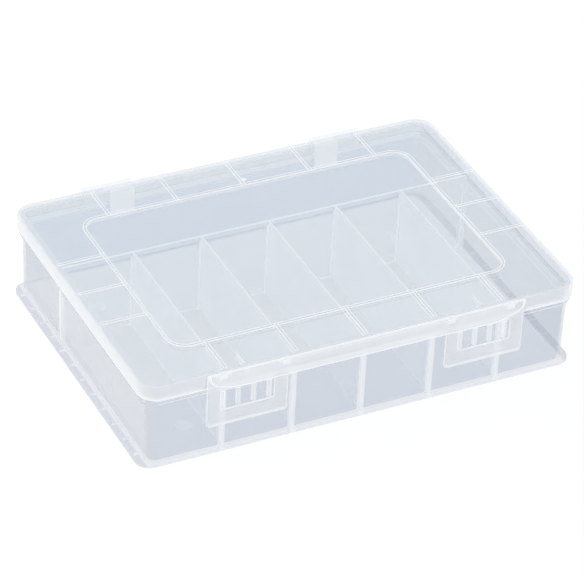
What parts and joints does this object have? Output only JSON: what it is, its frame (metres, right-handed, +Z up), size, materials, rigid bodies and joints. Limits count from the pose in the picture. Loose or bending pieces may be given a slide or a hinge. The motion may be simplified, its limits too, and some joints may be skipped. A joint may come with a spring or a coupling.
{
  "type": "compartment storage box",
  "caption": "Translucent plastic storage box with a hinged lid, a swinging front latch bar and slide-in dividers.",
  "frame": {"origin": "middle of the underside, level with the surface that the box stands on", "axes": "+X along the width to the right as seen from the latch side, +Y to the hinge side, +Z up"},
  "size_m": [0.3016, 0.2253, 0.0626],
  "materials": {
    "clear_body": "translucent, lightly frosted",
    "clear_lid": "translucent, lightly frosted",
    "clear_latch": "translucent, satin",
    "clear_divider": "translucent, lightly frosted"
  },
  "bodies": {
    "tray": {"base_tray": "clear_body", "long_divider": "clear_divider", "cross_divider_1": "clear_divider", "cross_divider_2": "clear_divider", "cross_divider_3": "clear_divider", "cross_divider_4": "clear_divider", "cross_divider_5": "clear_divider"},
    "lid": {"lid": "clear_lid"},
    "latch": {"front_latch_bar": "clear_latch"}
  },
  "joints": [
    {"name": "lid_hinge", "type": "hinge", "parent": "tray", "child": "lid", "pos_m": [0, 0.1113, 0.0527], "axis": [-1, 0, 0], "range_deg": [0, 120]},
    {"name": "latch_hinge", "type": "hinge", "parent": "lid", "child": "latch", "pos_m": [0, -0.1091, 0.0608], "axis": [-1, 0, 0], "range_deg": [0, 110]}
  ]
}
